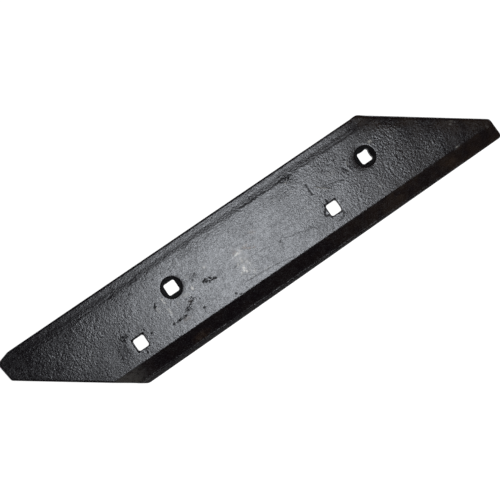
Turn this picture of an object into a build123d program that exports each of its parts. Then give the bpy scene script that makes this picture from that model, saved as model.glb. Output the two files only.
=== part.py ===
from build123d import *
import os
from math import radians, tan

# Reversible cultivator blade, sizes in millimetres.
# X runs along the blade, Y across it and Z up through its thickness.
# The cutting edge is on the -Y side and the blade lies on its flat back.
# Each feature of the face has a twin on the back, turned through the blade's centre,
# so one blade fits both a left and a right wing.

# Blank
thickness = 12.0
width = 110.4
end_half_length = 246.8    # middle to a slanted end, on the centre line
end_angle = 35.7           # slanted end to the long edge
tip_width = 27.1           # squared-off tip, measured across the blade
tip_lean = 7.0             # squared-off tip from square
cutting_edge_run_in = 4.8  # the cutting edge draws in this much at its far tip
tip_facet_length = 16.0    # corner dressed off the rear edge's tip
tip_facet_depth = 4.5

# Corner radii seen from above
blunt_corner_radius = 9.0
tip_inner_radius = 4.0
tip_facet_radius = 12.0
tip_rear_radius = 4.0
tip_cutting_radius = 3.5

# Bevel and nose of the cutting edge
bevel_width = 22.0         # crest to the outer edge
nose_width = 4.9           # end of the bevel to the outer edge
bevel_end_height = 6.2     # above the back
nose_land = 1.0            # blunt flat at the very edge

# Drawn-down band along the rear edge, with a shallow crease as far from the rim as the nose
band_width = 12.9
crease_drop = 0.85         # below the face
rim_drop = 0.4             # below the crease

# Rounding of the forged lines along the blade and of its outer rim
crest_radius = 2.0
bevel_end_radius = 1.0
band_radius = 12.0
crease_radius = 20.0
rim_radius = 0.7

# Holes for square-necked countersunk bolts
bolt_diameter = 12.0
neck_clearance = 1.2
neck_corner_radius = 2.0
head_diameter = 23.2
head_angle = 90.0
mouth_chamfer = 0.4
inner_hole_x = 94.7
outer_hole_x = 153.4
hole_row_y = 14.1          # rows of holes from the centre line

half_width = width / 2
half_thickness = thickness / 2
tip_inner_y = half_width - tip_width


def turned(points):
    """The same points turned through the centre."""
    return [(-x, -y) for x, y in points]


def end_x(y):
    """Distance of a slanted end from the middle; y grows towards its sharp tip."""
    return end_half_length + y / tan(radians(end_angle))


def tip_x(y):
    """Distance of a squared-off tip from the middle; y grows away from the centre line."""
    return end_x(tip_inner_y) + (y - tip_inner_y) * tan(radians(tip_lean))


def outline():
    """The blade seen from above: its rear edge and tip, then its cutting edge and tip."""
    facet_y = half_width - tip_facet_depth
    cutting_y = half_width - cutting_edge_run_in
    blunt_corner = (end_x(-half_width), half_width)
    tip_inner = (-end_x(tip_inner_y), tip_inner_y)
    rear = [
        blunt_corner,
        (tip_facet_length - tip_x(facet_y), half_width),
        (-tip_x(facet_y), facet_y),
        tip_inner,
    ]
    cutting = [*turned([blunt_corner]), (tip_x(cutting_y), -cutting_y), *turned([tip_inner])]
    radii = [
        blunt_corner_radius, tip_facet_radius, tip_rear_radius, tip_inner_radius,
        blunt_corner_radius, tip_cutting_radius, tip_inner_radius,
    ]
    return make_face(FilletPolyline(*rear, *cutting, radius=radii, close=True))


def section():
    """The section across the blade. One half runs from the band of the face over the crest
    and the bevel to the nose and under it; the back is that half turned through the centre."""
    crease_z = half_thickness - crease_drop
    nose_y = half_width - nose_width
    nose_z = rim_drop - crease_z
    half = [
        (half_width - band_width, half_thickness),
        (bevel_width - half_width, half_thickness),
        (-nose_y, bevel_end_height - half_thickness),
        (-half_width, nose_z + nose_land),
        (-half_width, nose_z),
        (-nose_y, -crease_z),
    ]
    radii = [band_radius, crest_radius, bevel_end_radius, 0, 0, crease_radius]
    return make_face(FilletPolyline(*half, *turned(half), radius=radii * 2, close=True))


def forged_blank():
    """The section drawn along the blade and trimmed to the outline, with its rim rounded."""
    bar = extrude(Plane.YZ * section(), amount=tip_x(half_width), both=True)
    blank = bar & extrude(outline(), amount=thickness, both=True)
    walls = blank.faces().filter_by(lambda face: abs(face.normal_at().Z) < 1e-6)
    return fillet(walls.edges().filter_by(Axis.Z, reverse=True), rim_radius)


def bolt_hole():
    """The space of one bolt: a square neck right through and a conical seat on the face."""
    neck = bolt_diameter + neck_clearance
    head_radius = head_diameter / 2
    seat_depth = head_radius / tan(radians(head_angle / 2))
    seat = Cone(0, head_radius, seat_depth, align=(Align.CENTER, Align.CENTER, Align.MAX))
    prism = extrude(RectangleRounded(neck, neck, neck_corner_radius), thickness, both=True)
    return prism + Pos(0, 0, half_thickness) * seat


def holed(blank):
    """Two seats on the face in the rear row, two on the back in the cutting row."""
    face_holes = [(-inner_hole_x, hole_row_y), (outer_hole_x, hole_row_y)]
    on_face = [Pos(x, y, 0) * bolt_hole() for x, y in face_holes]
    on_back = [Pos(x, y, 0) * Rot(180, 0, 0) * bolt_hole() for x, y in turned(face_holes)]
    plate = blank - on_face - on_back
    flats = plate.faces().sort_by(Axis.Z)
    mouths = flats[0].inner_wires() + flats[-1].inner_wires()
    return chamfer([edge for mouth in mouths for edge in mouth.edges()], mouth_chamfer)


blade = holed(forged_blank())

# Origin: middle of the box that holds the blade, on the face it lies on
box = blade.bounding_box()
blade = Pos(-box.center().X, -box.center().Y, -box.min.Z) * blade
blade.label = "blade"

os.makedirs("parts", exist_ok=True)
export_step(blade, "parts/blade.step")
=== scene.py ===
from math import cos, radians, sin, tan

import bpy
import numpy as np
from bpy.props import FloatProperty, FloatVectorProperty, IntProperty, PointerProperty
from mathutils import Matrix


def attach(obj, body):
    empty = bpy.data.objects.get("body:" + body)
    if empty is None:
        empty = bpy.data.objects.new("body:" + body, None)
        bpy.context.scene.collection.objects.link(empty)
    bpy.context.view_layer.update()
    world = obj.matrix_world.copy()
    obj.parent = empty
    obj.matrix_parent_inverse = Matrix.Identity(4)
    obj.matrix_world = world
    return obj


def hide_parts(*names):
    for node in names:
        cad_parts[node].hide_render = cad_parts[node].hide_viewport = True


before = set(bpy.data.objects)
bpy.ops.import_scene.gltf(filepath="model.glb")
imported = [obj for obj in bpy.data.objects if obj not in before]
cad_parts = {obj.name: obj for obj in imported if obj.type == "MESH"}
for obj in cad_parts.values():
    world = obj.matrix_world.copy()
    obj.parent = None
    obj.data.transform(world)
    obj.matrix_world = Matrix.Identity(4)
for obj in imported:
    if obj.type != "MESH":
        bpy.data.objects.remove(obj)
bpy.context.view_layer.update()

bl_info = {
    "name": "Cultivator Blade",
    "version": (1, 0, 0),
    "blender": (4, 5, 0),
    "location": "3D View > Sidebar > Blade",
    "description": "Forges and paints a reversible cultivator blade and lays it on a pale floor",
    "category": "Object",
}

MM = 0.001

# Sizes of the blade below are in millimetres, and places are measured from its middle.

# Lines on the face
REAR_EDGE_Y = 55.2
BAND_INNER_Y = 42.3
CREASE_Y = 50.3
CREST_Y = -33.2
BEVEL_END_Y = -50.3
END_ANGLE = radians(35.7)
END_HALF_LENGTH = 246.8
UPPER_END, LOWER_END = 1, -1

# Heights above the back, and the Z of a normal between which a slope turns level
THICKNESS = 12.0
FACE_FROM_Z = 5.0
BACK_TO_Z = 7.0
LEVEL = (0.55, 0.85)

# Squares and seats of the bolt holes
HALF_SQUARE = 6.6
SEAT_RADIUS = 11.6

# Bolt holes: middle, and how far the punch pushed the hole aside
HOLES = {
    "inner_seat": ((-94.65, 14.1), (0.6, 0.6)),
    "outer_seat": ((153.45, 14.1), (0.6, -0.1)),
    "inner_square": ((94.75, -14.1), (0.5, 1.5)),
    "outer_square": ((-153.35, -14.1), (0.55, -1.2)),
}

# The punch moves all within the first distance, and nothing past the second
PUSH_REACH = (12.5, 19.0)

# Seats' rims drawn in by the punch: hole, side in degrees, reach, depth
DRAWN_RIMS = [("inner_seat", 10.0, 4.5, 0.36), ("outer_seat", 175.0, 9.0, 0.62)]
RIM_INSIDE = 1.0           # the drawing-in starts this far inside the seat's edge
RIM_LEAST_REACH = 0.6
RIM_LEAST_SHARE = 0.25     # of the depth, on the far side

# Square mouths drawn in by the punch: hole, depths at the top, right, bottom and left
DRAWN_MOUTHS = [("inner_square", (1.3, 0.1, 0.45, 0.0)), ("outer_square", (1.5, 0.0, 0.2, 1.3))]
MOUTH_REACH = 1.5
MOUTH_CURVE = 1.4

# Sides of the outer seat's square that bulge inwards
BULGE_TOP, BULGE_RIGHT = 0.65, 0.75
BULGE_HALF_LENGTH = 4.6
BULGE_RIGHT_LOWER = 0.4    # the right one sits this much lower
BULGE_FROM = 4.5           # from the hole's middle
BULGE_GONE, BULGE_FADE = 10.4, 4.0    # faded out this far from the middle, over this width
BULGE_AROUND = 10.0        # nothing past this moves

# Inner line of the drawn-down band
BAND_LEAN = 0.0062         # the line nears the rear edge to the left
BAND_WAVES = ((0.7, 17.0, 3), (0.5, 5.0, 4))    # share of the wander, length, seed
BAND_STRAY = 1.1           # the line runs nearer the rear edge for a while
STRAY_FROM, STRAY_TO = (55.0, 72.0), (95.0, 110.0)
BAND_STARTS = 4.0          # inside the inner line of the CAD blade

# The CAD blade's band: places across it, and the depths there
CAD_BAND = ((BAND_INNER_Y, CREASE_Y, REAR_EDGE_Y), (0.0, 0.85, 1.25))

# Sections of the wandering band: distances outwards from its inner line, and the depths there
CLEAR_BAND = ((-0.3, 1.2, 4.6, 6.0, 7.4, 8.2, 13.0), (0.0, 0.13, 0.44, 0.54, 0.57, 0.63, 0.86))
FAINT_BAND = ((-2.5, 0.5, 4.5, 14.0), (0.0, 0.16, 0.60, 1.12))
CUPPED_BAND = ((-0.3, 1.0, 4.4, 5.2, 13.0), (0.0, 0.15, 0.58, 0.61, 0.54))
CLEAR_PART = (-200.0, -95.0)
CUPPED_PART = (85.0, 120.0)

# A change is an amount and the two places between which it comes in
BAND_WIDER = [(0.32, 15.0, 60.0)]
BAND_DEEPER = [(0.2, 15.0, 40.0), (0.35, 45.0, 75.0), (-0.55, 92.0, 112.0)]

# The face curves down towards the band: how sharply, and its changes along the blade
CROWN = 0.0016
CROWN_CHANGES = [(-0.0012, -140.0, -70.0), (0.0005, -40.0, 0.0), (-0.0013, 45.0, 95.0)]
CROWN_Y, CROWN_WIDTH = 25.0, 18.0

# Edges of the face rounded by the hammer: width and depth
UPPER_END_ROUND = (2.6, 0.9)
LOWER_END_ROUND = (2.0, 0.5)
REAR_ROUND = (2.0, 0.6)

# The roll-off of the upper end changes from the middle to the rear edge
ROLL_CHANGES = [(1.5, 8.0, 32.0), (-0.9, 38.0, 50.0)]

# Edges spread outwards by the hammer, the long ones as a change along Y, from the middle outwards
END_SPREAD, END_SPREAD_WIDTH = 0.5, 6.0
REAR_SPREAD = (0.45, 48.0, 55.0)
CUTTING_SPREAD = (-0.3, 46.0, 50.5)

# Lip along the end of the bevel
LIP_INSIDE = 0.3
LIP_HALF_WIDTH = 1.1

# Ripples, as shares around 1, that make the outline of a mark ragged: share, length, seed
RAGGED_SPOTS = (0.35, 1.3, 7)
RAGGED_LINES = (0.3, 2.0, 9)

# Scaly pits of the back, where two ripples meet: length and seed of each, and how strong they are
# together where a pit starts and how deep it gets from there
BACK_RIPPLES = ((2.4, 23), (13.0, 24))
BACK_PITS_FROM = 0.24
BACK_PIT_DEPTH = 0.9

# Pits: x, y, half length, half width, angle in degrees, depth as a share of the setting's
PITS = [
    # scale pits below the inner seat
    (-113, -18.5, 2.4, 1.3, 10, 0.6), (-108, -18, 1.8, 1.0, 0, 0.3), (-105.5, -19.5, 1.3, 1.0, 0, 0.2),
    (-100.5, -17.4, 2.0, 1.1, 20, 0.4), (-96.5, -18.8, 1.5, 1.0, 0, 0.3),
    (-94, -14.6, 2.4, 0.9, 8, 0.4), (-91.5, -12.2, 2.2, 0.9, 5, 0.4), (-89, -16, 1.4, 0.9, 0, 0.3),
    (-87.6, -7.6, 1.5, 1.0, 30, 0.4), (-83, -9.5, 1.5, 0.9, 40, 0.4), (-79.8, -8, 1.3, 1.0, 0, 0.4),
    (-88, -4.2, 1.6, 0.9, 0, 0.4), (-76, -11.6, 1.4, 1.0, 60, 0.4), (-77, -22.2, 1.6, 1.3, 0, 0.8),
    (-41, -28.8, 1.4, 1.2, 0, 0.6), (-37, -32.4, 2.0, 1.1, 0, 0.6), (-28, -29.6, 1.2, 0.8, 80, 0.5),
    # between the inner seat and the middle
    (-71.5, 8.8, 1.4, 1.0, 30, 0.4), (-66, 13.2, 3.0, 1.0, 35, 0.3), (-62.8, 0.8, 1.9, 0.9, 40, 1.1),
    (-60.2, 2.1, 1.5, 0.9, -20, 1.0), (-60.2, -1.1, 1.5, 0.9, -30, 1.1), (-57.2, -2.6, 1.8, 0.9, 50, 1.0),
    (-55.0, 0.6, 1.9, 0.9, -40, 1.1), (-53.4, -2.4, 1.5, 1.0, 20, 1.0), (-51.4, -1.5, 1.3, 0.9, -30, 0.8),
    (-49.3, -3.2, 1.4, 0.9, -60, 0.8),
    # round the outer square hole
    (-170.6, -9.5, 1.6, 1.2, 0, 0.3), (-171.6, -15, 1.4, 2.0, 0, 0.2),
    (-161, 0.6, 1.6, 1.2, 0, 0.4), (-158.6, -1.8, 1.5, 1.0, 0, 0.4), (-169.4, -0.2, 1.3, 1.0, 0, 0.4),
    (-168, -3.2, 1.6, 1.1, 0, 0.6), (-165.5, -0.6, 1.4, 1.1, 0, 0.6), (-162.8, -2.2, 1.3, 1.0, 0, 0.5),
    (-166.3, -5.4, 1.4, 1.0, 0, 0.5), (-156.6, 2.4, 1.3, 1.2, 0, 0.6), (-142.8, -5.8, 1.2, 1.1, 0, 0.8),
    (-145.2, -4.8, 1.2, 0.9, 0, 0.4), (-138.4, -13, 1.4, 1.2, 0, 0.9), (-141.6, -10.6, 1.2, 0.9, 0, 0.4),
    (-152.6, -27.6, 1.5, 1.2, 0, 0.9), (-153, -24.4, 1.2, 1.0, 0, 0.5), (-158, -24.6, 1.3, 0.9, 0, 0.3),
    # left part of the face
    (-119.6, 9, 1.4, 1.0, 60, 0.6), (-121.2, 6.4, 1.2, 0.9, 60, 0.5), (-122, 4, 1.1, 0.9, 0, 0.3),
    (-135.2, 33.8, 1.5, 1.0, 20, 0.6), (-159, 20.4, 1.3, 1.0, 0, 0.4), (-158.6, 39.8, 1.5, 1.0, 20, 0.5),
    (-106, 33, 1.3, 1.0, 0, 0.4), (-95, 33.4, 1.2, 1.0, 0, 0.4), (-152, 43.2, 3.2, 1.0, 5, 0.7),
    (-125, 45.0, 4.5, 1.0, 8, 0.5), (-190, 36, 1.4, 1.0, 0, 0.5), (-184, 27, 1.2, 1.1, 0, 0.5),
    (-250, 37, 2.4, 1.0, 10, 0.6), (-246, 39, 1.6, 0.9, 60, 0.5), (-217, 41, 1.8, 0.9, 0, 0.6),
    (-204, 48, 1.4, 0.9, 0, 0.6), (-227, 49.6, 1.4, 0.8, 0, 0.5),
    # right part of the face
    (28.6, -9.8, 1.2, 0.9, 60, 0.5), (118.6, 7.0, 4.0, 1.2, -24, 0.6), (133.4, 23.4, 1.4, 1.2, 0, 0.7),
    (146.6, -20.0, 1.2, 1.0, 70, 0.7), (157, -0.8, 1.2, 1.0, 0, 0.4), (107.5, 27, 2.2, 1.4, 0, 0.3),
    (115.6, 28.8, 1.3, 1.0, 0, 0.5), (124.4, 29.8, 1.3, 1.0, 0, 0.4), (109, 24.6, 1.3, 1.0, 0, 0.4),
    (102.4, -23, 1.6, 0.8, 60, 0.7), (96, -26.6, 2.0, 0.8, 25, 0.5), (99.6, -25.4, 1.4, 0.8, 0, 0.5),
    (199, 17, 1.5, 0.9, -40, 0.5), (201.6, 14.8, 1.4, 0.8, -40, 0.4),
    # nicks in the crest of the bevel
    (237.4, -33.6, 2.2, 1.2, 0, 1.0), (242.2, -33.2, 1.6, 1.0, 20, 0.7), (208, -33.6, 1.4, 0.8, 0, 0.5),
]

# Grooves and ridges: a line of points, half width, height (a groove's is negative)
LINES = [
    # long shallow grooves
    ([(84.6, 25), (84.4, 18), (84.8, 11.4)], 0.6, -0.20),
    ([(34.5, -9.5), (42, -12), (47, -12), (55, -14.8), (61, -17), (66, -17)], 0.6, -0.08),
    ([(60, -13), (66, -17.5), (71, -22.5)], 0.7, -0.06),
    ([(27, -10.5), (31, -7.5), (36, -6)], 0.7, -0.05),
    ([(-25, -24.6), (-8, -25.8), (8, -27), (20, -28.6), (31, -31.4)], 0.7, -0.07),
    ([(-38, 36.4), (-30, 40)], 0.9, -0.06),
    ([(-28, -5.3), (-8, -5.2), (12, -7)], 0.7, -0.05),
    # ragged step where the band starts
    ([(13, 44.2), (17, 43.3), (20, 44.2), (23, 42.9), (26, 42.8), (29, 44), (33, 43.4)], 0.9, -0.20),
    ([(34, 44.6), (38, 43.2), (41, 44.2), (47, 43)], 0.8, -0.15),
    ([(9, 41.4), (12, 40.8)], 0.7, -0.10),
    ([(56, 44.6), (60, 43.4), (63, 43.8)], 0.8, -0.14),
    ([(64, 42.6), (67, 45.4), (69, 43.8)], 0.8, -0.17),
    ([(68, 41), (71, 43.2), (74, 42.6)], 0.8, -0.15),
    ([(72, 45), (76, 44), (78, 42.4)], 0.8, -0.16),
    ([(80, 43), (86, 41)], 0.8, -0.14),
    ([(92, 43.4), (96, 42.6), (101, 43)], 0.8, -0.12),
    ([(112, 43.8), (124, 43.2), (134, 43.6), (146, 43.0), (157, 43.4)], 0.9, -0.09),
    ([(-132, 46.2), (-126, 45.4), (-119, 46.4)], 0.8, -0.08),
    # burrs pushed up by the punch at the inner square hole
    ([(88, -8.6), (85, -10.6), (83.4, -13.6), (85, -15.6), (88.2, -16.6)], 0.9, -0.26),
    ([(86.6, -12.8), (88.0, -13.4)], 1.6, 0.16),
    ([(93.2, -0.6), (93.2, -5)], 0.8, -0.30),
    ([(102, -12.6), (109.5, -11.4)], 0.7, -0.06),
    ([(102.6, -20.6), (99, -26), (92, -27)], 0.7, -0.14),
    # strokes right of the inner square hole
    ([(90, 17.6), (95, 12.4), (102, 7.4)], 1.0, 0.12),
    ([(92, 14.6), (98, 9.4), (104, 6)], 0.9, 0.08),
    ([(97, 13.6), (106, 11), (114, 8.6)], 0.9, -0.08),
    ([(126.4, 18), (130.4, 11)], 0.8, -0.22),
    ([(133.4, 21), (131.6, 16), (133.4, 10)], 0.8, 0.14),
    ([(124, 13), (127.4, 7)], 0.8, 0.10),
    # curved strokes left of the outer end
    ([(166, -3), (163.6, -10), (164.8, -19)], 0.8, -0.07),
    ([(169, -8), (168, -17), (170.6, -27)], 0.8, -0.07),
    ([(191, 0), (190.5, -12), (189, -24)], 0.8, -0.06),
    # left part of the face
    ([(-204.4, 39), (-204, 31)], 0.7, 0.12),
    ([(-226.6, 31), (-228, 26), (-228.4, 22)], 0.7, 0.10),
    ([(-266, 42.6), (-263.6, 47)], 0.7, -0.06),
]

# Swellings and hollows: x, y, reach along x, reach along y, height
SWELLS = [
    (-165.0, -13, 8, 13, 0.30), (-180, -12, 9, 15, -0.10), (-146, -24, 8, 6, 0.08), (-152, -1, 9, 4, -0.10),
    (-226, 16, 24, 22, 0.22), (-270, 42, 40, 30, -0.60), (74, 40, 42, 16, -0.36), (96, 0, 48, 38, -0.40),
    (-185, 34, 14, 9, -0.12), (60, 33, 16, 8, -0.10), (108, 31, 10, 9, -0.12),
    (118, 14, 12, 5, 0.12), (-18, -12, 6, 9, 0.07), (70, 36, 6, 5, 0.10),
]

# Coarser, leathery skin: x, y, reach along x, reach along y, strength
LEATHERY = [
    (-190, 28, 18, 20, 1.1), (-240, 28, 22, 24, 0.9), (-215, 5, 26, 20, 0.5), (-165, 0, 12, 9, 0.8),
    (-68, 10, 9, 7, 0.7), (-55, 34, 30, 9, 0.5), (70, 38, 16, 10, 1.0), (110, 32, 22, 14, 0.8),
    (96, 8, 10, 16, 0.4), (180, -10, 20, 26, 1.3), (185, 22, 22, 16, 1.0), (222, -16, 26, 18, 0.8),
    (124, -8, 22, 22, 0.6), (105, -28, 14, 8, 0.6), (-150, 20, 20, 26, 0.4), (30, 43, 24, 3, 0.7),
    (-96, -16, 16, 8, 0.5),
]
LEATHER_BASE = 0.30                  # everywhere
LEATHER_WANDER = (0.18, 14.0, 11)    # share, length, seed
LEATHER_SHARE = 0.7                  # of the strengths above
BACK_SKIN = 0.3                      # strength of the skin on the back

# Crackled marks: x, y, half length, half width, angle in degrees
CRACKLED = [
    (-60.4, 0.4, 3.6, 2.0, -12), (-54.6, -1.4, 3.6, 2.0, -18), (-50.2, -2.8, 2.0, 1.4, -20),
    (-119.6, 7.6, 1.6, 3.0, -20), (-91, -13.4, 5.5, 1.9, 24), (-103, -18.6, 10.0, 1.4, 2),
    (-84, -7.4, 4.5, 2.4, 30), (-165, -1.5, 6.0, 3.6, 0), (68, 42, 9, 3.0, 0),
]

# Rubbed pale: x, y, half length, half width, angle in degrees, strength
PALE = [
    # round the inner seat
    (-109, 8, 4.6, 1.0, 90, 0.9), (-109.5, -5, 6.5, 0.9, 90, 0.55), (-85.5, -0.6, 5, 1.8, -12, 0.35),
    (-118.6, 3, 5.0, 0.8, 90, 0.4), (-97.5, -3, 3.0, 0.8, 80, 0.4), (-76, 2, 3.0, 1.1, 80, 0.8),
    (-53.5, 12.5, 2.6, 1.2, -30, 0.5), (-74.5, 15, 1.6, 0.8, 0, 0.5),
    # near the middle
    (-17, 5, 6.4, 1.3, 6, 0.8), (-12.5, 8, 2.4, 0.9, 80, 0.6), (-18.5, 12, 2.6, 0.8, 90, 0.5),
    (-19.5, -12.5, 2.8, 3.0, 0, 1.0), (-18.8, -13, 1.4, 6.4, 0, 0.8), (-16.8, -2.4, 3.8, 1.3, 84, 0.7),
    (-13.0, -5.6, 3.2, 1.2, 76, 0.5), (-11.6, -11.4, 2.6, 1.1, 70, 0.45), (-23.4, -14.4, 2.6, 1.1, 30, 0.5),
    (-22.6, -5.6, 2.8, 1.1, 60, 0.5), (-14.8, -17.4, 2.6, 1.2, -60, 0.55), (-16, -6, 9.0, 17, 6, 0.16),
    (-11.5, -20, 3.4, 2.4, 40, 0.35), (-14, -23.8, 6.5, 0.6, 0, 0.4), (2, -25.4, 5.5, 0.6, 0, 0.4),
    # right part of the face
    (70.3, 0, 1.2, 1.2, 0, 0.6), (67, 27, 1.0, 1.0, 0, 0.4), (67.5, 38, 1.2, 1.2, 0, 0.5),
    (46, 29.5, 1.0, 1.0, 0, 0.4), (96, 12.5, 8.5, 0.8, -40, 0.5), (100, 8.8, 5.5, 0.7, -38, 0.3),
    (133.4, 18.4, 2.6, 0.8, 85, 0.45), (130.4, 12, 2.0, 0.7, 60, 0.25), (112, 19, 8, 3.0, 0, 0.10),
    (166.7, 23.8, 2.8, 2.0, -40, 1.0), (148.2, -21.2, 1.3, 1.1, 0, 0.45), (240.2, -32.8, 2.4, 0.8, 3, 0.5),
    (248.6, -8.8, 1.3, 1.3, 0, 0.30), (250.4, -6.4, 3.6, 0.8, -35, 0.22), (253.4, -9.8, 1.1, 0.9, 0, 0.25),
    (245.4, -4.2, 1.6, 0.7, -35, 0.16), (280, -33.6, 2.0, 0.8, -40, 0.16), (-204.2, 35, 4.4, 0.7, 88, 0.05),
]

# Faint rust: x, y, half length, half width, angle in degrees, strength
RUSTY = [
    (-6.5, 5.5, 2.8, 1.2, -30, 0.26), (-2.0, 2.4, 2.8, 1.1, -35, 0.28), (2, 0.5, 2.2, 1.2, -20, 0.28),
    (9, 15, 4.5, 2.4, -40, 0.12), (-5, 7.6, 4.4, 1.2, 10, 0.25), (-19, 7.6, 3.0, 1.2, 0, 0.25),
    (-96, -45, 12.0, 5.0, 6, 0.030), (-98, -21.6, 7.0, 2.2, 0, 0.08), (-86, -8, 4.0, 2.6, 30, 0.04),
    (160, -42, 5.0, 3.0, 0, 0.012), (226, -42, 9, 3.5, 0, 0.018),
]

# How flat a mark is: the more, the wider the middle where it has its full strength
MARK_FLATNESS, RUST_FLATNESS = 2.5, 2.0

# Parts of the blade where the paint changes
FACE_SLOPE = 0.2                     # least Z of a normal on the face
BEVEL_PART = (0.5, 1.5)              # comes in from inside the crest to outside it
NOSE_WIDTH = 1.0                     # comes in over this width
RIGHT_PART = (30.0, 190.0)           # comes in between these, to the right
OUTER_END_REACH, OUTER_END_FADE = 18.75, 15.0    # gone this far in, over this width
RIM_PART = (0.45, 0.9)               # Z of a normal on the rim's rounding

# Brown paint, a painted sheen on the bevel's blunt end, and painted shade on the bevel and the nose: how
# strong each is in each part
BROWN_BEVEL, BROWN_BEVEL_RIGHT = 0.3, 0.3
BROWN_END, BROWN_RIGHT, BROWN_BACK = 0.9, 0.45, 0.5
BLUNT_END_PAINTED_SHEEN, BLUNT_END_PART = 0.11, (160.0, 182.0)      # painted sheen on the bevel's blunt end, coming in between these, to the left
BEVEL_PAINTED_SHADE, BEVEL_PAINTED_SHADE_ENDS = 0.27, (130.0, 165.0)       # painted shade on the bevel's middle, ending between these, to the left
# painted shade on the nose below the bevel
NOSE_PAINTED_SHADE = 0.9
SMOOTH_NOSE = 0.9                    # the nose is this much less leathery
HOLE_SHADE_REACH = 0.4                # painted shade in the holes reaches this far past the seat's radius
HOLE_WALL_SLOPE = 0.9                # most Z of a normal on a hole's wall or seat
HOLE_MOUTH, HOLE_MOUTH_SHADE = 0.5, 0.5    # depth of a mouth, and how much painted shade it gets

# Dull places: how dull, and a groove's reach as a share of its half width
PIT_DULLNESS = 1.6
GROOVE_DULLNESS, GROOVE_REACH = 3.0, 1.3

# The paint's finish, where no setting changes it
MOTTLE_SIZE = 16 * MM
VEIN_SIZE = 2.4 * MM
VEIN_DEPTH = 0.10 * MM
SHADE_AND_PIT_DARKNESS = 0.4                     # share of the paint's own colour, for painted shade and for the dark pits and grooves
LEAST_ROUGHNESS = 0.12
ROUGHER = {"mottle": 0.10, "dull": 0.60, "rusty": 0.25, "rim": 0.50, "painted_shade": -0.20}
GLOSS_TINT = (0.90, 0.94, 1.0)

# Where a noise or mask lies between the first two numbers, the effect goes from the third to the last
VEIN_LINE = (0.03, 0.085, 1.0, 0.0)
CRACKLE_FADE = (0.1, 0.5, 0.0, 1.0)
BROKEN_WEAR = (0.34, 0.50, 0.35, 1.0)
DULL_GRAIN = (0.2, 0.5, 0.6, 1.0)
BROWN_MOTTLE = (0.36, 0.62, 0.3, 1.0)
PEEL_BY_LEATHER = (0.2, 1.0, 0.8, 3.2)

# Stage
LAMP_X, LAMP_Y = 0.020, -0.034
FLOOR_GLOW = 0.92
FLOOR_SHADE = (0.3, 0.3, 0.3)
WHITE = (1.0, 1.0, 1.0)


class BladeForgingSettings(bpy.types.PropertyGroup):
    """Sizes of the forged blade's surface."""
    grid: FloatProperty(
        name="Working grid", description="Mesh size while the surface is worked",
        default=0.7 * MM, unit="LENGTH", precision=5)
    most_triangles: IntProperty(
        name="Most triangles", description="The finished blade is thinned down to this many",
        default=196000, min=20000)
    wave_length: FloatProperty(
        name="Forging wave length", description="Length of the slow waves left by the forge",
        default=34.0 * MM, unit="LENGTH", precision=4)
    wave_height: FloatProperty(
        name="Forging wave height", description="Height of the slow waves, trough to crest",
        default=0.15 * MM, unit="LENGTH", precision=5)
    scale_length: FloatProperty(
        name="Scale mark length", description="Size of the marks that mill scale leaves",
        default=6.0 * MM, unit="LENGTH", precision=4)
    scale_height: FloatProperty(
        name="Scale mark height", description="Height of the scale marks",
        default=0.08 * MM, unit="LENGTH", precision=5)
    skin_length: FloatProperty(
        name="Skin length", description="Size of the fine bumps of the painted skin",
        default=2.4 * MM, unit="LENGTH", precision=5)
    skin_height: FloatProperty(
        name="Skin height", description="Height of the fine bumps where they are coarsest",
        default=0.25 * MM, unit="LENGTH", precision=6)
    band_wander: FloatProperty(
        name="Band wander", description="How far the drawn-down band's inner line wanders",
        default=0.8 * MM, unit="LENGTH", precision=5)
    end_roll: FloatProperty(
        name="End roll-off", description="How far the face rolls off at its upper slanted end",
        default=0.55 * MM, unit="LENGTH", precision=5)
    end_roll_width: FloatProperty(
        name="End roll-off width", description="Where the roll-off starts, from the end",
        default=22.0 * MM, unit="LENGTH", precision=4)
    lip_height: FloatProperty(
        name="Lip height", description="Height of the lip along the end of the bevel",
        default=0.25 * MM, unit="LENGTH", precision=5)
    pit_depth: FloatProperty(
        name="Pit depth", description="Depth of the deep scale pits",
        default=0.45 * MM, unit="LENGTH", precision=5)


class BladePaintSettings(bpy.types.PropertyGroup):
    """Colours and finish of the blade's paint."""
    paint: FloatVectorProperty(
        name="Paint", description="Black paint", subtype="COLOR", size=3,
        default=(0.0046, 0.0028, 0.0042), min=0.0, max=1.0)
    brown: FloatVectorProperty(
        name="Brown", description="Brownish paint on the bevel and the outer end",
        subtype="COLOR", size=3, default=(0.0150, 0.0092, 0.0066), min=0.0, max=1.0)
    scuff: FloatVectorProperty(
        name="Scuff", description="Paint rubbed pale", subtype="COLOR", size=3,
        default=(0.34, 0.33, 0.30), min=0.0, max=1.0)
    rust: FloatVectorProperty(
        name="Rust", description="Faint rust specks", subtype="COLOR", size=3,
        default=(0.40, 0.23, 0.11), min=0.0, max=1.0)
    roughness: FloatProperty(
        name="Roughness", description="Satin of the paint", default=0.28, min=0.05, max=1.0)
    cloudiness: FloatProperty(
        name="Cloudiness", description="How much the gloss clouds", default=0.32, min=0.0)
    cloud_size: FloatProperty(
        name="Cloud size", description="Size of the clouds in the gloss",
        default=3.6 * MM, unit="LENGTH", precision=5)
    graininess: FloatProperty(
        name="Graininess", description="How much the gloss is grainy", default=0.46, min=0.0)
    grain_size: FloatProperty(
        name="Grain size", description="Size of the fine grain in the paint",
        default=1.1 * MM, unit="LENGTH", precision=5)
    grain_height: FloatProperty(
        name="Grain height", description="Height of the fine grain in the paint",
        default=0.07 * MM, unit="LENGTH", precision=6)
    peel_size: FloatProperty(
        name="Orange peel size", description="Size of the paint's orange peel",
        default=1.9 * MM, unit="LENGTH", precision=5)
    peel_height: FloatProperty(
        name="Orange peel height", description="Height of the paint's orange peel",
        default=0.15 * MM, unit="LENGTH", precision=6)
    burnish: FloatProperty(
        name="Burnish", description="How much bare metal gleams where the paint is rubbed",
        default=0.12, min=0.0, max=1.0)


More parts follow.
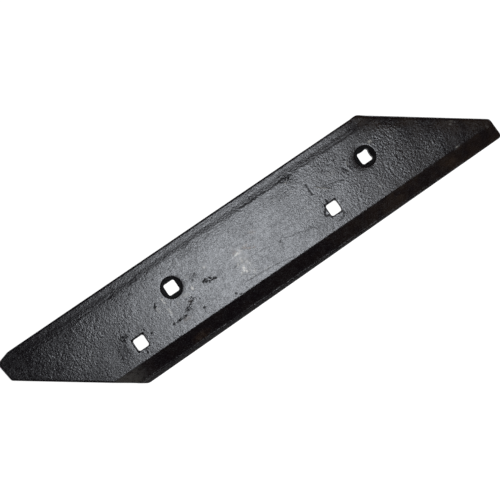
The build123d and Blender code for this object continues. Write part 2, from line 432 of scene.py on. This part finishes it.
class BladeStageSettings(bpy.types.PropertyGroup):
    """Floor, lamp, surroundings and camera."""
    floor_size: FloatProperty(
        name="Floor size", description="Side of the square floor", default=30.0, unit="LENGTH")
    floor_colour: FloatVectorProperty(
        name="Floor colour", description="Plain pale floor", subtype="COLOR", size=3,
        default=(0.8, 0.8, 0.8), min=0.0, max=1.0)
    lamp_height: FloatProperty(
        name="Lamp height", description="Soft lamp above the blade", default=0.90, unit="LENGTH")
    lamp_size: FloatProperty(
        name="Lamp size", description="Side of the soft lamp", default=0.40, unit="LENGTH")
    lamp_power: FloatProperty(
        name="Lamp power", description="Power of the soft lamp in watts", default=6.1)
    sky: FloatProperty(
        name="Sky", description="Strength of the plain surroundings overhead", default=0.012, min=0.0)
    horizon: FloatProperty(
        name="Horizon", description="Strength of the surroundings along the horizon", default=0.20,
        min=0.0)
    horizon_reach: FloatProperty(
        name="Horizon reach", description="Rise of the direction at which the horizon's glow ends",
        default=0.62, min=0.01, max=1.0)
    camera_place: FloatVectorProperty(
        name="Camera place", description="Where the camera stands", subtype="XYZ", unit="LENGTH",
        size=3, default=(-64.88 * MM, -15.45 * MM, 1274.35 * MM), precision=4)
    camera_turn: FloatVectorProperty(
        name="Camera turn", description="How the camera is turned", subtype="EULER", size=3,
        default=(radians(2.178), radians(-1.892), radians(-34.365)))
    camera_lens: FloatProperty(
        name="Camera lens", description="Focal length in millimetres", default=86.4, min=10.0)


def alone(piece):
    """Selects only this piece and makes it the active one."""
    bpy.ops.object.select_all(action="DESELECT")
    piece.select_set(True)
    bpy.context.view_layer.objects.active = piece


def applied(piece, kind, **values):
    """Adds a modifier with these values and applies it."""
    alone(piece)
    modifier = piece.modifiers.new(kind.title(), kind)
    for name, value in values.items():
        setattr(modifier, name, value)
    bpy.ops.object.modifier_apply(modifier=modifier.name)


# Shape

def merged_copy(name, distance=0.001 * MM):
    """A copy of the CAD blade as one closed mesh, with points closer than this distance merged."""
    piece = bpy.data.objects.new(name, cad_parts["blade"].data.copy())
    bpy.context.collection.objects.link(piece)
    piece.data.materials.clear()
    alone(piece)
    bpy.ops.object.mode_set(mode="EDIT")
    bpy.ops.mesh.select_all(action="SELECT")
    bpy.ops.mesh.remove_doubles(threshold=distance)
    bpy.ops.object.mode_set(mode="OBJECT")
    return piece


def clouds(name, size, depth):
    """A soft noise texture for the displace modifier."""
    texture = bpy.data.textures.new(name, "CLOUDS")
    texture.noise_scale = size
    texture.noise_depth = depth
    return texture


def points_of(piece):
    """The piece's vertices in millimetres and their normals, as arrays."""
    mesh = piece.data
    place = np.empty(len(mesh.vertices) * 3)
    mesh.vertices.foreach_get("co", place)
    normal = np.empty(len(mesh.vertices) * 3)
    mesh.vertex_normals.foreach_get("vector", normal)
    return place.reshape(-1, 3) / MM, normal.reshape(-1, 3)


def put_points(piece, place):
    """Writes the vertices back."""
    piece.data.vertices.foreach_set("co", (place * MM).ravel())
    piece.data.update()


def wander(x, y, size, seed, length=700, width=200):
    """Smooth random values between -1 and 1 over the blade, with bumps of this size."""
    cells = np.random.RandomState(seed).uniform(-1.0, 1.0, (int(length / size) + 4, int(width / size) + 4))
    across, along = (y + width / 2) / size, (x + length / 2) / size
    i, j = along.astype(int), across.astype(int)
    u, v = along - i, across - j
    u, v = u * u * (3 - 2 * u), v * v * (3 - 2 * v)
    return ((cells[i, j] * (1 - u) + cells[i + 1, j] * u) * (1 - v)
            + (cells[i, j + 1] * (1 - u) + cells[i + 1, j + 1] * u) * v)


def eased(value, low, high):
    """0 below low, 1 above high and smooth between them."""
    t = np.clip((value - low) / (high - low), 0.0, 1.0)
    return t * t * (3 - 2 * t)


def changed(value, start, changes):
    """start plus each change's amount, eased in between the change's two places."""
    total = start
    for amount, low, high in changes:
        total = total + amount * eased(value, low, high)
    return total


def ragged(x, y, share, size, seed):
    """Factors around 1 that make an outline ragged."""
    return 1.0 + share * wander(x, y, size, seed)


def spot(x, y, place, reach, angle=0.0):
    """How far each point lies from a spot's middle, as a share of its reach each way."""
    dx, dy = x - place[0], y - place[1]
    c, s = cos(radians(angle)), sin(radians(angle))
    return np.hypot((dx * c + dy * s) / reach[0], (dy * c - dx * s) / reach[1])


def bell(x, y, place, reach):
    """1 in a spot's middle, and smoothly less away from it."""
    return np.exp(-2.0 * spot(x, y, place, reach) ** 2)


def from_line(x, y, line):
    """Distance of each point from a line of points."""
    nearest = np.full(x.shape, 1e6)
    for (ax, ay), (bx, by) in zip(line, line[1:]):
        lx, ly = bx - ax, by - ay
        t = np.clip(((x - ax) * lx + (y - ay) * ly) / (lx * lx + ly * ly), 0.0, 1.0)
        nearest = np.minimum(nearest, np.hypot(x - ax - t * lx, y - ay - t * ly))
    return nearest


def end_distance(x, y, end):
    """Distance inwards from the UPPER_END or the LOWER_END."""
    return (END_HALF_LENGTH - end * y / tan(END_ANGLE) - end * x) * sin(END_ANGLE)


def pushed(place):
    """The holes moved to where the punch left them."""
    for middle, push in HOLES.values():
        near = np.hypot(place[:, 0] - middle[0], place[:, 1] - middle[1])
        share = 1.0 - eased(near, *PUSH_REACH)
        place[:, 0] += push[0] * share
        place[:, 1] += push[1] * share
    return place


def hole_middle(name):
    """Where a hole's middle is on the finished blade."""
    (x, y), (right, up) = HOLES[name]
    return x + right, y + up


def band_change(x, y, s):
    """What the wandering drawn-down band takes off or adds to the plain one."""
    wavy = sum(share * wander(x, np.zeros_like(x), size, seed) for share, size, seed in BAND_WAVES)
    stray = BAND_STRAY * (eased(x, *STRAY_FROM) - eased(x, *STRAY_TO))
    inner_line = BAND_INNER_Y - BAND_LEAN * x + s.band_wander / MM * wavy + stray
    out = (y - inner_line) / changed(x, 1.0, BAND_WIDER)
    clear = np.interp(out, *CLEAR_BAND)
    clear += (np.interp(out, *CUPPED_BAND) - clear) * eased(x, *CUPPED_PART)
    share = eased(x, *CLEAR_PART)
    step = (share * clear + (1.0 - share) * np.interp(out, *FAINT_BAND)) * changed(x, 1.0, BAND_DEEPER)
    crown = changed(x, CROWN, CROWN_CHANGES) * np.clip(y - CROWN_Y, 0.0, CROWN_WIDTH) ** 2
    return np.where(y > BAND_INNER_Y - BAND_STARTS, np.interp(y, *CAD_BAND) - step, 0.0) - crown


def drawn_rim(x, y, hole, side, reach, depth):
    """A seat's rim, drawn in by the punch more on one side."""
    cx, cy = hole_middle(hole)
    r = np.hypot(x - cx, y - cy)
    lean = 0.5 + 0.5 * np.cos(np.arctan2(y - cy, x - cx) - radians(side))
    inner, edge = SEAT_RADIUS - RIM_INSIDE, SEAT_RADIUS + RIM_LEAST_REACH + reach * lean
    share = RIM_LEAST_SHARE + (1.0 - RIM_LEAST_SHARE) * lean
    return -depth * share * np.clip((edge - r) / (edge - inner), 0.0, 1.0) ** 2


def drawn_mouth(x, y, hole, depths):
    """A square hole's mouth, drawn in by the punch along its four sides."""
    cx, cy = hole_middle(hole)
    dx, dy = x - cx, y - cy
    top, right, bottom, left = depths
    upright = np.abs(dy) > np.abs(dx)
    depth = np.where(upright, np.where(dy > 0, top, bottom), np.where(dx > 0, right, left))
    out = np.maximum(np.abs(dx), np.abs(dy)) - HALF_SQUARE
    return -depth * np.clip(1.0 - out / MOUTH_REACH, 0.0, 1.0) ** MOUTH_CURVE


def bevel_lip(y):
    """A thin lip along the end of the bevel."""
    return np.clip(1.0 - np.abs(y - BEVEL_END_Y - LIP_INSIDE) / LIP_HALF_WIDTH, 0.0, 1.0)


def in_spots(x, y, spots, flatness=1.0):
    """How much each point is in some spots: a spot's strength in its middle and 0 outside it."""
    mask = np.zeros(x.shape)
    ripples = ragged(x, y, *RAGGED_SPOTS)
    for px, py, length, width, angle, strength in spots:
        out = spot(x, y, (px, py), (length, width), angle) * ripples
        mask = np.maximum(mask, strength * np.clip(flatness * (1.0 - out), 0.0, 1.0))
    return mask


def leathery(x, y):
    """How coarse the painted skin is, from 0 to 1."""
    share, size, seed = LEATHER_WANDER
    mask = LEATHER_BASE + share * wander(x, y, size, seed)
    for px, py, length, width, strength in LEATHERY:
        mask += LEATHER_SHARE * strength * bell(x, y, (px, py), (length, width))
    return np.clip(mask, 0.0, 1.0)


def grown(place):
    """The long edges and the upper slanted end, spread a little by the hammer."""
    x, y = place[:, 0].copy(), place[:, 1].copy()
    end = END_SPREAD * (1.0 - eased(end_distance(x, y, UPPER_END), 0.0, END_SPREAD_WIDTH))
    place[:, 0] += end * sin(END_ANGLE)
    spread = changed(y, end * cos(END_ANGLE), [REAR_SPREAD])
    spread = changed(-y, spread, [CUTTING_SPREAD])
    place[:, 1] += spread
    return place


def bulge(out, along):
    """A bulge of one side of a square; out is the distance from its middle towards that side."""
    curve = (out > BULGE_FROM) * np.clip(1.0 - (along / BULGE_HALF_LENGTH) ** 2, 0.0, 1.0)
    return curve * np.clip((BULGE_GONE - out) / BULGE_FADE, 0.0, 1.0)


def bulges(place, hole):
    """The top and right sides of this hole's square, which the punch left bulging inwards."""
    cx, cy = hole_middle(hole)
    dx, dy = place[:, 0] - cx, place[:, 1] - cy
    near = np.maximum(np.abs(dx), np.abs(dy)) < BULGE_AROUND
    top = near * bulge(dy, dx)
    right = near * bulge(dx, dy + BULGE_RIGHT_LOWER)
    place[:, 1] -= BULGE_TOP * top
    place[:, 0] -= BULGE_RIGHT * right
    return place


def face_rise(x, y, s):
    """How far the face is raised or lowered by forging, punching and wear."""
    rise = band_change(x, y, s) + s.lip_height / MM * bevel_lip(y)
    upper_end = end_distance(x, y, UPPER_END)
    lower_end = end_distance(x, y, LOWER_END)
    roll = np.clip(1.0 - upper_end / (s.end_roll_width / MM), 0.0, 1.0)
    rise -= s.end_roll / MM * changed(y, 1.0, ROLL_CHANGES) * roll ** 2
    rise -= s.pit_depth / MM * in_spots(x, y, PITS)
    ripples = ragged(x, y, *RAGGED_LINES)
    for line, width, height in LINES:
        rise += height * np.clip(1.0 - (from_line(x, y, line) * ripples / width) ** 2, 0.0, 1.0)
    for px, py, length, width, height in SWELLS:
        rise += height * bell(x, y, (px, py), (length, width))
    for rim in DRAWN_RIMS:
        rise += drawn_rim(x, y, *rim)
    for mouth in DRAWN_MOUTHS:
        rise += drawn_mouth(x, y, *mouth)
    for gap, (width, depth) in ((upper_end, UPPER_END_ROUND), (lower_end, LOWER_END_ROUND),
                                (REAR_EDGE_Y - y, REAR_ROUND)):
        rise -= depth * np.clip(1.0 - gap / width, 0.0, 1.0) ** 2
    return rise


def worked(place, normal, s):
    """The blade's points after forging, punching and wear."""
    place = pushed(place)
    x, y = place[:, 0].copy(), place[:, 1].copy()
    up = eased(normal[:, 2], *LEVEL) * (place[:, 2] > FACE_FROM_Z)
    down = eased(-normal[:, 2], *LEVEL) * (place[:, 2] < BACK_TO_Z)
    fine, broad = (wander(x, y, *ripple) for ripple in BACK_RIPPLES)
    pitted_below = np.clip(fine * broad - BACK_PITS_FROM, 0.0, 1.0)
    place[:, 2] += up * face_rise(x, y, s) + down * BACK_PIT_DEPTH * pitted_below
    return bulges(grown(place), "outer_seat")


def dull_marks(x, y):
    """Where pits and grooves dull the paint."""
    dull = PIT_DULLNESS * in_spots(x, y, PITS)
    for line, width, height in LINES:
        if height < 0.0:
            near = np.clip(GROOVE_REACH - from_line(x, y, line) / width, 0.0, 1.0)
            dull = np.maximum(dull, -GROOVE_DULLNESS * height * near)
    return dull


def painted_hole_shade(x, y, z, slope):
    """Painted shade on the walls of the holes and seats, less of it at the seats' mouths."""
    painted_shade = np.zeros(x.shape)
    for name in HOLES:
        cx, cy = hole_middle(name)
        near = np.hypot(x - cx, y - cy) < SEAT_RADIUS + HOLE_SHADE_REACH
        wall = near * (slope < HOLE_WALL_SLOPE) * (slope > -HOLE_WALL_SLOPE)
        at_mouth = (z > THICKNESS - HOLE_MOUTH) if "seat" in name else (z < HOLE_MOUTH)
        painted_shade = np.maximum(painted_shade, wall * np.where(at_mouth, HOLE_MOUTH_SHADE, 1.0))
    return painted_shade


def masks(place, normal):
    """Where the paint is worn, dull, crackled, leathery or brown, where shade is painted in the holes, on
    the bevel and the nose and a sheen on the bevel's blunt end, and how much.
    """
    x, y, z = place.T
    slope = normal[:, 2]
    face = (slope > FACE_SLOPE) & (z > FACE_FROM_Z)
    inside, outside = BEVEL_PART
    bevel = eased(-y, -CREST_Y - inside, -CREST_Y + outside)
    nose = eased(-y, -BEVEL_END_Y, NOSE_WIDTH - BEVEL_END_Y)
    right = eased(x, *RIGHT_PART)
    outer_end = np.clip(
        OUTER_END_REACH / OUTER_END_FADE - end_distance(x, y, UPPER_END) / OUTER_END_FADE, 0.0, 1.0)
    brown = np.maximum((BROWN_BEVEL + BROWN_BEVEL_RIGHT * right) * bevel, BROWN_END * outer_end)
    brown += BROWN_RIGHT * right
    # painted sheen: the bevel's left end is painted paler, kept with the rubbed pale marks
    blunt_end_sheen = BLUNT_END_PAINTED_SHEEN * bevel * eased(-x, *BLUNT_END_PART)
    # painted shade: the bevel's middle and the nose below it are painted darker
    bevel_shade = BEVEL_PAINTED_SHADE * (1.0 - right) * (1.0 - eased(-x, *BEVEL_PAINTED_SHADE_ENDS)) * bevel
    bevel_and_nose_shade = face * np.maximum(bevel_shade, NOSE_PAINTED_SHADE * nose)
    crackled = [(*each, 1.0) for each in CRACKLED]
    return {
        "pale": face * np.maximum(in_spots(x, y, PALE, MARK_FLATNESS), blunt_end_sheen),
        "rusty": face * in_spots(x, y, RUSTY, RUST_FLATNESS),
        "dull": face * dull_marks(x, y),
        "crackle": face * in_spots(x, y, crackled, MARK_FLATNESS),
        "leather": leathery(x, y) * (1.0 - SMOOTH_NOSE * nose),
        "brown": np.where(face, brown, BROWN_BACK),
        # painted shade on the walls of the holes, the bevel's middle and the nose
        "painted_shade": np.maximum(painted_hole_shade(x, y, z, slope), bevel_and_nose_shade),
        "rim": 1.0 - eased(np.abs(slope), *RIM_PART),
    }


def weigh(piece, name, weight, steps=10):
    """A vertex group with these weights, rounded to this many steps."""
    group = piece.vertex_groups.new(name=name)
    level = np.round(weight * steps).astype(int)
    for step in range(1, steps + 1):
        group.add(np.nonzero(level == step)[0].tolist(), step / steps, "REPLACE")


def stored(piece, values):
    """Stores each mask, kept between 0 and 1, as an attribute that the paint reads."""
    for name, value in values.items():
        layer = piece.data.attributes.new(name, "FLOAT", "POINT")
        layer.data.foreach_set("value", np.clip(value, 0.0, 1.0).astype(np.float32))


def forged_blade(s):
    """The whole blade as one worked mesh."""
    piece = merged_copy("blade_forging")
    applied(piece, "REMESH", mode="VOXEL", voxel_size=s.grid, use_smooth_shade=True)
    place, normal = points_of(piece)
    place = worked(place, normal, s)
    put_points(piece, place)
    level = eased(normal[:, 2], *LEVEL) + BACK_SKIN * eased(-normal[:, 2], *LEVEL)
    weigh(piece, "skin", level * leathery(place[:, 0], place[:, 1]))
    for name, size, depth, height, group in (
            ("forging_waves", s.wave_length, 1, s.wave_height, ""),
            ("scale_marks", s.scale_length, 2, s.scale_height, ""),
            ("painted_skin", s.skin_length, 1, s.skin_height, "skin")):
        applied(piece, "DISPLACE", texture=clouds(name, size, depth), texture_coords="LOCAL",
                strength=height, mid_level=0.5, vertex_group=group)
    triangles = sum(len(p.vertices) - 2 for p in piece.data.polygons)
    if triangles > s.most_triangles:
        applied(piece, "DECIMATE", ratio=s.most_triangles / triangles)
    place, normal = points_of(piece)
    # what the waves left below the floor is turned up
    put_points(piece, np.column_stack((place[:, :2], np.abs(place[:, 2]))))
    piece.vertex_groups.clear()
    stored(piece, masks(*points_of(piece)))
    alone(piece)
    bpy.ops.object.shade_smooth()
    return piece


# Paint

class Nodes:
    """A short way to add and join a material's nodes."""

    def __init__(self, tree):
        self.tree = tree

    def add(self, kind, inputs=(), **values):
        """A new node with these inputs and these properties."""
        node = self.tree.nodes.new(kind)
        for name, value in values.items():
            setattr(node, name, value)
        for key, value in dict(inputs).items():
            self.feed(node.inputs[key], value)
        return node

    def feed(self, socket, value):
        """Links another node's output to a socket, or sets a plain value on it."""
        if isinstance(value, bpy.types.NodeSocket):
            self.tree.links.new(value, socket)
        else:
            socket.default_value = value

    def math(self, operation, first, second=0.0, clamp=False):
        """The result of a Math node with two values."""
        node = self.add("ShaderNodeMath", {0: first, 1: second}, operation=operation,
                        use_clamp=clamp)
        return node.outputs[0]

    def noise(self, vector, size, detail=2.0, roughness=0.5):
        """Noise with marks of this size."""
        node = self.add("ShaderNodeTexNoise", {"Vector": vector, "Scale": 1.0 / size,
                        "Detail": detail, "Roughness": roughness})
        return node.outputs["Fac"]

    def ramp(self, value, low, high, to_low=0.0, to_high=1.0, smooth=True):
        """The value's range from low to high, spread from to_low to to_high."""
        node = self.add("ShaderNodeMapRange", {"Value": value, "From Min": low, "From Max": high,
                        "To Min": to_low, "To Max": to_high},
                        interpolation_type="SMOOTHSTEP" if smooth else "LINEAR")
        return node.outputs["Result"]

    def blend(self, factor, first, second):
        """A colour between two, the first at factor 0 and the second at 1."""
        node = self.add("ShaderNodeMix", {0: factor, 6: first, 7: second}, data_type="RGBA")
        return node.outputs[2]

    def mask(self, name):
        """One of the masks stored on the blade."""
        return self.add("ShaderNodeAttribute", attribute_name=name).outputs["Fac"]

    def weighted(self, start, *terms):
        """start plus each value times its weight."""
        for value, weight in terms:
            start = self.add("ShaderNodeMath", {0: value, 1: weight, 2: start},
                             operation="MULTIPLY_ADD").outputs[0]
        return start


def colour(value):
    """A colour with full alpha."""
    return (*value, 1.0)


def black_paint(s):
    """Satin black paint over a forged skin, with worn, dull and brown places, painted shade in the holes,
    on the bevel and the nose, and a painted sheen on the bevel's blunt end.
    """
    material = bpy.data.materials.new("satin_black_paint")
    material.use_nodes = True
    tree = material.node_tree
    tree.nodes.clear()
    n = Nodes(tree)
    place = n.add("ShaderNodeTexCoord").outputs["Object"]
    mottle = n.noise(place, MOTTLE_SIZE, 3.0)
    cloud = n.noise(place, s.cloud_size, 3.0, 0.6)
    peel = n.noise(place, s.peel_size, 2.0, 0.55)
    grain = n.noise(place, s.grain_size, 1.0, 0.5)
    leather = n.mask("leather")
    # thin wandering lines, for crackled marks
    vein = n.noise(place, VEIN_SIZE, 1.0, 0.5)
    off_line = n.math("ABSOLUTE", n.math("SUBTRACT", vein, 0.5))
    lines = n.math("MULTIPLY", n.ramp(off_line, *VEIN_LINE), n.ramp(n.mask("crackle"), *CRACKLE_FADE))
    broken = n.ramp(cloud, *BROKEN_WEAR)
    dull = n.math("ADD", n.math("MULTIPLY", n.mask("dull"), n.ramp(grain, *DULL_GRAIN)), lines, clamp=True)
    pale = n.math("MULTIPLY", n.mask("pale"), broken, clamp=True)
    rusty = n.math("MULTIPLY", n.mask("rusty"), broken, clamp=True)
    brown = n.math("MULTIPLY", n.mask("brown"), n.ramp(mottle, *BROWN_MOTTLE), clamp=True)
    # height of the skin
    coarse = n.ramp(leather, *PEEL_BY_LEATHER, smooth=False)
    height = n.weighted(n.math("MULTIPLY", grain, s.grain_height),
                        (n.math("MULTIPLY", peel, coarse), s.peel_height), (lines, -VEIN_DEPTH))
    bump = n.add("ShaderNodeBump", {"Height": height, "Strength": 1.0, "Distance": 1.0})
    # gloss: cloudy and grainy, dull in the pits and on the rim
    rough = n.weighted(s.roughness, (n.math("SUBTRACT", cloud, 0.5), s.cloudiness),
                       (n.math("SUBTRACT", grain, 0.5), s.graininess),
                       (n.math("SUBTRACT", mottle, 0.5), ROUGHER["mottle"]),
                       (dull, ROUGHER["dull"]), (rusty, ROUGHER["rusty"]),
                       (n.mask("rim"), ROUGHER["rim"]), (n.mask("painted_shade"), ROUGHER["painted_shade"]))
    # colour
    tone = n.blend(brown, colour(s.paint), colour(s.brown))
    # darker where shade is painted in the holes, on the bevel and the nose, and in the dull pits and
    # grooves
    dark = colour([SHADE_AND_PIT_DARKNESS * part for part in s.paint])
    tone = n.blend(n.math("MAXIMUM", n.mask("painted_shade"), dull), tone, dark)
    tone = n.blend(pale, tone, colour(s.scuff))
    tone = n.blend(rusty, tone, colour(s.rust))
    shader = n.add("ShaderNodeBsdfPrincipled", {
        "Base Color": tone, "Roughness": n.math("MAXIMUM", rough, LEAST_ROUGHNESS),
        "Metallic": n.math("MULTIPLY", pale, s.burnish),
        "Normal": bump.outputs["Normal"]})
    shader.inputs["Specular Tint"].default_value = colour(GLOSS_TINT)
    output = n.add("ShaderNodeOutputMaterial")
    tree.links.new(shader.outputs["BSDF"], output.inputs["Surface"])
    return material


# Stage

def floor_paint(s):
    """Plain pale floor: white to the camera, with the blade's shadow left on it."""
    material = bpy.data.materials.new("pale_floor")
    material.use_nodes = True
    tree = material.node_tree
    tree.nodes.clear()
    n = Nodes(tree)
    path = n.add("ShaderNodeLightPath").outputs
    seen = n.math("ADD", path["Is Camera Ray"], path["Is Glossy Ray"], clamp=True)
    seen = n.math("ADD", seen, path["Is Transmission Ray"], clamp=True)
    plain = n.add("ShaderNodeBsdfDiffuse", {"Color": colour(s.floor_colour)}).outputs[0]
    shade = n.add("ShaderNodeBsdfDiffuse", {"Color": colour(FLOOR_SHADE)}).outputs[0]
    white = n.add("ShaderNodeEmission", {"Color": colour(WHITE), "Strength": FLOOR_GLOW}).outputs[0]
    both = n.add("ShaderNodeAddShader", {0: shade, 1: white}).outputs[0]
    mix = n.add("ShaderNodeMixShader", {0: seen, 1: plain, 2: both}).outputs[0]
    output = n.add("ShaderNodeOutputMaterial")
    tree.links.new(mix, output.inputs["Surface"])
    return material


def pale_floor(s):
    """A square floor under the blade."""
    bpy.ops.mesh.primitive_plane_add(size=s.floor_size)
    floor = bpy.context.active_object
    floor.name = "floor"
    floor.data.materials.append(floor_paint(s))
    return floor


def soft_lamp(s):
    """One soft square lamp over the blade, out of the camera's sight."""
    data = bpy.data.lights.new("soft_lamp", "AREA")
    data.shape = "SQUARE"
    data.size = s.lamp_size
    data.energy = s.lamp_power
    lamp = bpy.data.objects.new("soft_lamp", data)
    bpy.context.collection.objects.link(lamp)
    lamp.location = (LAMP_X, LAMP_Y, s.lamp_height)
    lamp.visible_camera = False
    return lamp


def surroundings(s):
    """Dark overhead with a glow along the horizon for the gloss, and white to the camera."""
    world = bpy.data.worlds.new("surroundings")
    world.use_nodes = True
    n = Nodes(world.node_tree)
    direction = n.add("ShaderNodeTexCoord").outputs["Generated"]
    rise = n.add("ShaderNodeSeparateXYZ", {"Vector": direction}).outputs["Z"]
    glow = n.ramp(rise, 0.0, s.horizon_reach, s.horizon, s.sky)
    seen = n.add("ShaderNodeLightPath").outputs["Is Camera Ray"]
    background = world.node_tree.nodes["Background"]
    n.feed(background.inputs["Color"], colour(WHITE))
    n.feed(background.inputs["Strength"], n.math("MAXIMUM", glow, seen))
    bpy.context.scene.world = world


def camera(s):
    """The camera, looking down on the blade."""
    data = bpy.data.cameras.new("camera")
    data.lens = s.camera_lens
    data.sensor_width = 36.0
    view = bpy.data.objects.new("camera", data)
    bpy.context.collection.objects.link(view)
    view.location = s.camera_place
    view.rotation_euler = s.camera_turn
    bpy.context.scene.camera = view


# Operators and panel

class OBJECT_OT_forge_blade(bpy.types.Operator):
    """Forge and paint the blade"""
    bl_idname = "object.forge_blade"
    bl_label = "Forge the blade"

    def execute(self, context):
        piece = forged_blade(context.scene.blade_forging)
        piece.data.materials.append(black_paint(context.scene.blade_paint))
        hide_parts("blade")
        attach(piece, "root")
        return {"FINISHED"}


class OBJECT_OT_set_blade_stage(bpy.types.Operator):
    """Lay the floor and set the lamp, the surroundings and the camera"""
    bl_idname = "object.set_blade_stage"
    bl_label = "Set the stage"

    def execute(self, context):
        s = context.scene.blade_stage
        pale_floor(s)
        soft_lamp(s)
        surroundings(s)
        camera(s)
        context.scene.view_settings.view_transform = "Standard"
        return {"FINISHED"}


class VIEW3D_PT_cultivator_blade(bpy.types.Panel):
    """The blade's settings"""
    bl_label = "Cultivator Blade"
    bl_idname = "VIEW3D_PT_cultivator_blade"
    bl_space_type = "VIEW_3D"
    bl_region_type = "UI"
    bl_category = "Blade"

    def draw(self, context):
        for group, operator in GROUPS:
            box = self.layout.box()
            settings = getattr(context.scene, group)
            for name in settings.__annotations__:
                box.prop(settings, name)
            if operator:
                box.operator(operator)


GROUPS = (("blade_forging", ""), ("blade_paint", "object.forge_blade"),
          ("blade_stage", "object.set_blade_stage"))
SETTINGS = {"blade_forging": BladeForgingSettings, "blade_paint": BladePaintSettings,
            "blade_stage": BladeStageSettings}
CLASSES = (*SETTINGS.values(), OBJECT_OT_forge_blade, OBJECT_OT_set_blade_stage,
           VIEW3D_PT_cultivator_blade)


def register():
    for each in CLASSES:
        bpy.utils.register_class(each)
    for name, group in SETTINGS.items():
        setattr(bpy.types.Scene, name, PointerProperty(type=group))


def unregister():
    for name in SETTINGS:
        delattr(bpy.types.Scene, name)
    for each in reversed(CLASSES):
        bpy.utils.unregister_class(each)


def main():
    register()
    bpy.ops.object.set_blade_stage()
    bpy.ops.object.forge_blade()


if __name__ == "__main__":
    main()
